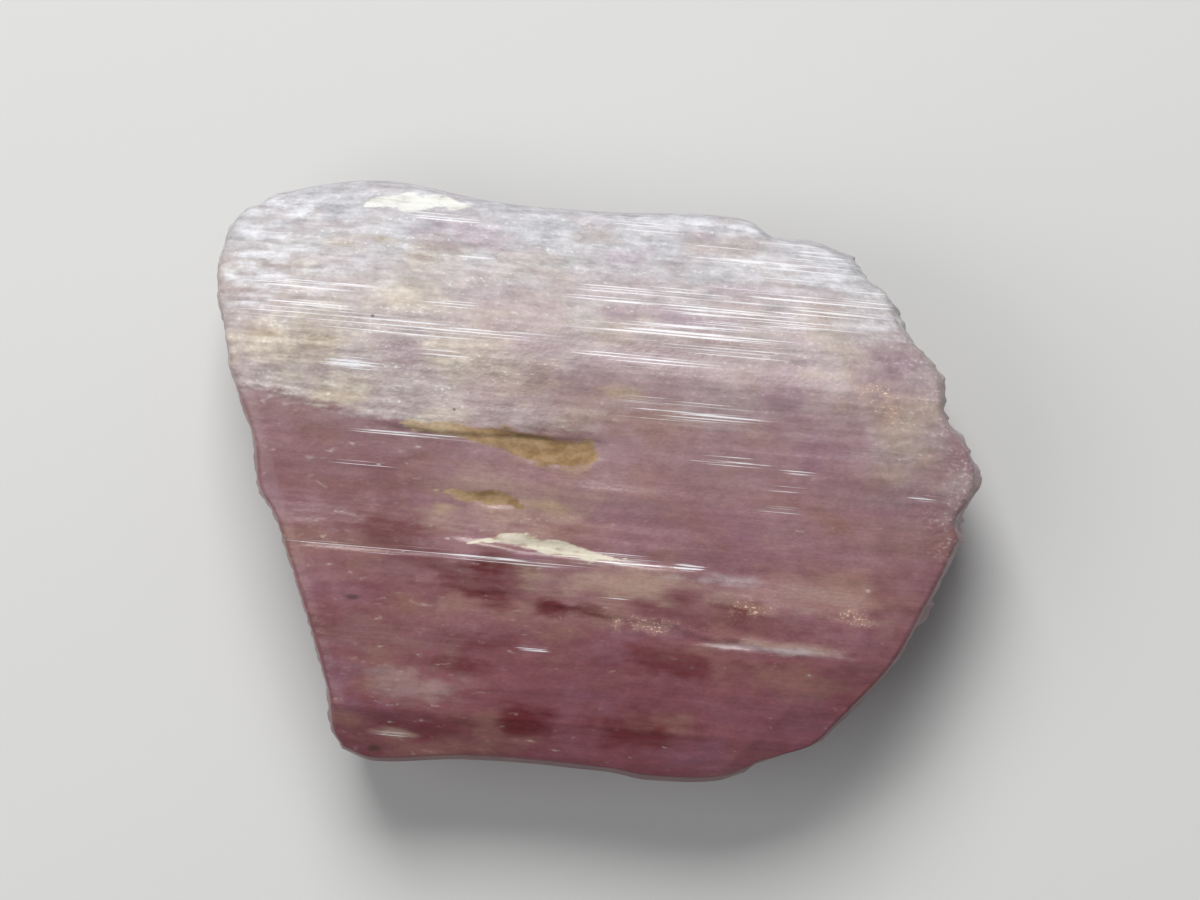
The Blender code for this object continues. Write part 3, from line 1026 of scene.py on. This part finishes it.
def body_colour(n, s):
    """Lilac, deeper towards the lower edge (partly painted shade), with clouds, wine stains and
    haze.
    """
    up = moved_up(n, n.y, (s.cloud, 10.0), (s.hue, 6.0), (s.mottle, 4.0))
    from_edge = n.math("MULTIPLY", n.math("ADD", up, WIDTH / 2), 1 / WIDTH)
    # Deeper towards the lower edge: partly the crystal's own colour, partly painted shade
    colour = n.colours(from_edge, BODY)
    colour = n.mix(n.ramp(s.hue, 0.50, 0.32, 0.0, 0.45), colour, BROWN_CLOUD)
    colour = n.mix(n.ramp(s.hue, 0.54, 0.70, 0.0, 0.35), colour, PURPLE_CLOUD)
    wine = n.times(n.mask("wine"), n.ramp(s.uneven, 0.34, 0.56, 0.55, 1.0))
    colour = n.mix(wine, colour, WINE_RED)
    haze = n.times(n.mask("haze"), n.ramp(s.uneven, 0.64, 0.40, 0.40, 0.85))
    colour = n.mix(haze, colour, HAZE_BEIGE)
    # Paler lilac over the sides and back, partly a painted glow of light through the thin edges
    return n.mix(n.times(n.mask("rim"), 0.5), colour, RIM_GLOW_LILAC)


def dullness(n, s):
    """How white the crystal is with frost, on the bevel and the upper left."""
    dull = n.times(n.mask("frost"), n.ramp(s.cloud, 0.35, 0.60, 0.65, 1.0))
    layer = n.broken(n.mask("patch"), s.ragged, amount=1.8, softness=0.7)
    layer = n.times(layer, n.mask("spread"))
    layer = n.times(layer, n.ramp(s.uneven, 0.35, 0.60, 0.6, 0.95))
    return n.math("MAXIMUM", dull, layer)


def with_frost(n, s, colour, dull):
    """Adds the frost, whiter towards the top, the plum and straw-coloured spots in it, and painted
    highlights over it.
    """
    white = n.mix(n.ramp(s.hue, 0.40, 0.60), WARM_FROST, GREY_FROST)
    # Whiter and bluer towards the top edge: frost with a painted highlight on the top bevel
    higher = moved_up(n, n.y, (s.cloud, 10.0))
    white = n.mix(n.ramp(higher, 8.0, 15.0), white, FROST_AND_HIGHLIGHT)
    colour = n.mix(dull, colour, white)
    plum = n.times(n.mask("plum"), n.ramp(s.cloud, 0.3, 0.6, 0.4, 1.0), 0.6)
    colour = n.mix(plum, colour, n.mix(dull, CLEAR_PLUM, FROSTED_PLUM))
    # Painted highlights: soft white gloss on the frost and along a few streaks
    bright = n.times(n.mask("bright"), n.ramp(s.uneven, 0.36, 0.60, 0.2, 0.9))
    colour = n.mix(bright, colour, HIGHLIGHT_WHITE)
    straw = n.times(n.mask("straw"), n.ramp(s.uneven, 0.62, 0.40, 0.2, 0.7))
    return n.mix(straw, colour, STRAW_YELLOW)


def with_grain(n, s, colour, dull):
    """Adds grain all over, stronger and more streaky where the crystal is dull."""
    body_grain = n.sum_around(
        (s.grain, 0.45), (s.mottle, 0.35), (s.finest, 0.22), (s.wisps, 0.20)
    )
    dull_grain = n.sum_around(
        (s.grain, 0.5), (s.mottle, 0.8), (s.ragged, 0.5), (s.fine, 0.4), (s.wisps, 0.8)
    )
    colour = n.mix(dull, n.shaded(colour, body_grain), n.shaded(colour, dull_grain))
    granules = n.times(n.ramp(s.grain, 0.58, 0.72), n.ramp(s.wisps, 0.46, 0.62), dull)
    colour = n.mix(n.times(granules, 0.75), colour, GRANULE_WHITE)
    ends = n.times(n.mask("end"), n.ramp(s.grain, 0.50, 0.70), n.ramp(s.mottle, 0.4, 0.6))
    return n.mix(n.times(ends, 0.5), colour, SUGAR_WHITE)


def with_glints(n, s, colour):
    """Adds painted glints along the striations, partly whitish hairlines, and an amber tint with
    painted sparkles.
    """
    glint = n.mask("glint")
    # A painted sheen in the glint ovals, then painted glint lines, partly whitish hairlines
    glint_sheen = n.times(glint, n.ramp(s.fine, 0.40, 0.65), 0.12)
    colour = n.mix(glint_sheen, colour, GLINT_SHEEN_WHITE)
    lines = n.ramp(n.math("ADD", s.finest, n.times(glint, 0.13)), 0.63, 0.70)
    lines = n.times(lines, n.ramp(glint, 0.0, 0.3), n.ramp(s.wisps, 0.34, 0.52, 0.35, 1.0))
    colour = n.mix(lines, colour, GLINT_LINE_WHITE)
    amber = n.mask("amber")
    colour = n.mix(n.times(amber, n.ramp(s.mottle, 0.4, 0.6), 0.3), colour, AMBER_GLOW)
    # Painted sparkles: gold specks in place of glints off etch pits
    glitter = n.times(n.ramp(s.glitter, 0.57, 0.68), amber, n.ramp(s.mottle, 0.42, 0.56, 0.2, 1.0))
    return n.mix(glitter, colour, SPARKLE_GOLD)


def with_cream(n, s, colour, cream):
    """Adds the cream streak, and the chalky one beside the top edge."""
    streak = n.mix(n.ramp(s.ragged, 0.30, 0.50), DARK_CREAM, LIGHT_CREAM)
    chalk = n.mix(n.ramp(s.uneven, 0.35, 0.55), DARK_CHALK, LIGHT_CHALK)
    streak = n.mix(n.ramp(n.y, 5.0, 10.0), streak, chalk)
    return n.mix(n.times(cream, 0.92), colour, n.shaded(streak, n.sum_around((s.grain, 0.3))))


def with_clay(n, s, colour, clay):
    """Adds the ochre clay, paler in its thin left tail, with painted shadow along its top."""
    dusty = n.mix(n.ramp(s.mottle, 0.34, 0.66), DARK_CLAY, LIGHT_CLAY)
    dusty = n.mix(n.ramp(n.x, -6.0, -8.5, 0.0, 0.7), dusty, CLAY_TAIL)
    # Painted shadow along the clay's top edge, under the ledge
    dusty = n.mix(n.times(n.mask("shade"), 0.7), dusty, CLAY_SHADOW)
    dusty = n.shaded(dusty, n.sum_around((s.grain, 0.7), (s.ragged, 0.4)))
    return n.mix(n.times(clay, 0.9), colour, dusty)


def relief(n, s):
    """Bumps too small for the mesh, stronger where the crystal is etched."""
    etched = n.math("MAXIMUM", n.mask("frost"), n.times(n.mask("patch"), n.mask("spread")))
    lines = n.times(s.fine, n.ramp(etched, 0.0, 1.0, 0.10, 0.35))
    height = n.math("ADD", n.times(s.mottle, 0.5), lines)
    height = n.math("ADD", height, n.times(s.grain, n.ramp(etched, 0.0, 1.0, 0.25, 0.70)))
    bump = n.tree.nodes.new("ShaderNodeBump")
    bump.inputs["Distance"].default_value = 0.05 * MM
    bump.inputs["Strength"].default_value = 1.0
    n.join(height, bump.inputs["Height"])
    return bump.outputs[0]


def kunzite_material():
    """The crystal: see-through lilac, frosted in places, with stains on it."""
    material = bpy.data.materials.new("kunzite")
    n = Nodes(material)
    s = all_streaks(n)
    dull = dullness(n, s)
    cream = n.broken(n.mask("cream"), s.ragged, amount=1.6, softness=0.5)
    clay_edge = n.math("ADD", n.times(s.ragged, 0.6), n.times(s.mottle, 0.4))
    clay = n.broken(n.mask("clay"), clay_edge, amount=1.6, softness=0.5)

    colour = with_frost(n, s, body_colour(n, s), dull)
    colour = with_glints(n, s, with_grain(n, s, colour, dull))
    colour = with_clay(n, s, with_cream(n, s, colour, cream), clay)
    for speck in SPECKS:
        colour = n.mix(n.times(n.speck(*speck), 0.8), colour, SPECK_BROWN)
    n.join(colour, n.shader.inputs["Base Color"])

    matt = n.math("MAXIMUM", dull, n.math("MAXIMUM", clay, cream))
    rough = n.ramp(n.math("ADD", matt, n.times(s.mottle, 0.3)), 0.0, 1.0, 0.36, 0.58)
    n.join(n.math("ADD", rough, n.times(clay, 0.35)), n.shader.inputs["Roughness"])
    n.join(relief(n, s), n.shader.inputs["Normal"])
    n.shader.inputs["Transmission Weight"].default_value = 0.35
    n.shader.inputs["IOR"].default_value = 1.66
    n.shader.inputs["Specular IOR Level"].default_value = 0.25

    inside = n.tree.nodes.new("ShaderNodeVolumeAbsorption")
    inside.inputs["Color"].default_value = (0.70, 0.40, 0.55, 1.0)
    inside.inputs["Density"].default_value = 160.0
    n.join(inside.outputs[0], n.output.inputs["Volume"])
    return material


def floor_piece():
    """A plain pale floor, just under the crystal."""
    bpy.ops.mesh.primitive_plane_add(size=FLOOR_WIDTH, location=(0, 0, -FLOOR_GAP))
    floor = bpy.context.object
    floor.name = "floor"
    material = bpy.data.materials.new("floor")
    material.use_nodes = True
    shader = material.node_tree.nodes["Principled BSDF"]
    shader.inputs["Base Color"].default_value = (0.54, 0.54, 0.53, 1.0)
    shader.inputs["Roughness"].default_value = 0.9
    floor.data.materials.append(material)


def area_light(name, location, size, power):
    """A soft square lamp, size metres wide, aimed at the crystal."""
    data = bpy.data.lights.new(name, "AREA")
    data.size = size
    data.energy = power
    lamp = bpy.data.objects.new(name, data)
    lamp.location = location
    aim = Vector(LAMP_TARGET) - Vector(location)
    lamp.rotation_euler = aim.to_track_quat("-Z", "Y").to_euler()
    bpy.context.scene.collection.objects.link(lamp)


def lights():
    """Light from above the frosted bevel, as in the photograph, and a soft fill."""
    area_light("key", (-0.07, 0.28, 0.35), size=0.22, power=2.3)
    area_light("fill", (-0.35, -0.10, 0.35), size=0.40, power=1.0)
    world = bpy.data.worlds.new("studio")
    world.use_nodes = True
    background = world.node_tree.nodes["Background"]
    background.inputs["Color"].default_value = (0.9, 0.92, 0.95, 1.0)
    background.inputs["Strength"].default_value = 0.25
    bpy.context.scene.world = world
    bpy.context.scene.view_settings.view_transform = "Standard"


def camera():
    """Straight above, turned so that the striations slant as in the photograph."""
    view_width = PHOTO_WIDTH / PIXELS_PER_MM
    above = LENS / SENSOR * view_width + SCALE_LEVEL
    data = bpy.data.cameras.new("camera")
    data.lens = LENS
    data.sensor_width = SENSOR
    data.clip_start = 0.01
    view = bpy.data.objects.new("camera", data)
    view.location = (VIEW_MIDDLE[0] * MM, VIEW_MIDDLE[1] * MM, above * MM)
    view.rotation_euler = (0.0, 0.0, math.radians(SLANT))
    bpy.context.scene.collection.objects.link(view)
    bpy.context.scene.camera = view


crystal = crystal_piece(kunzite_material())
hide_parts(NODE)
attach(crystal, "root")
floor_piece()
lights()
camera()
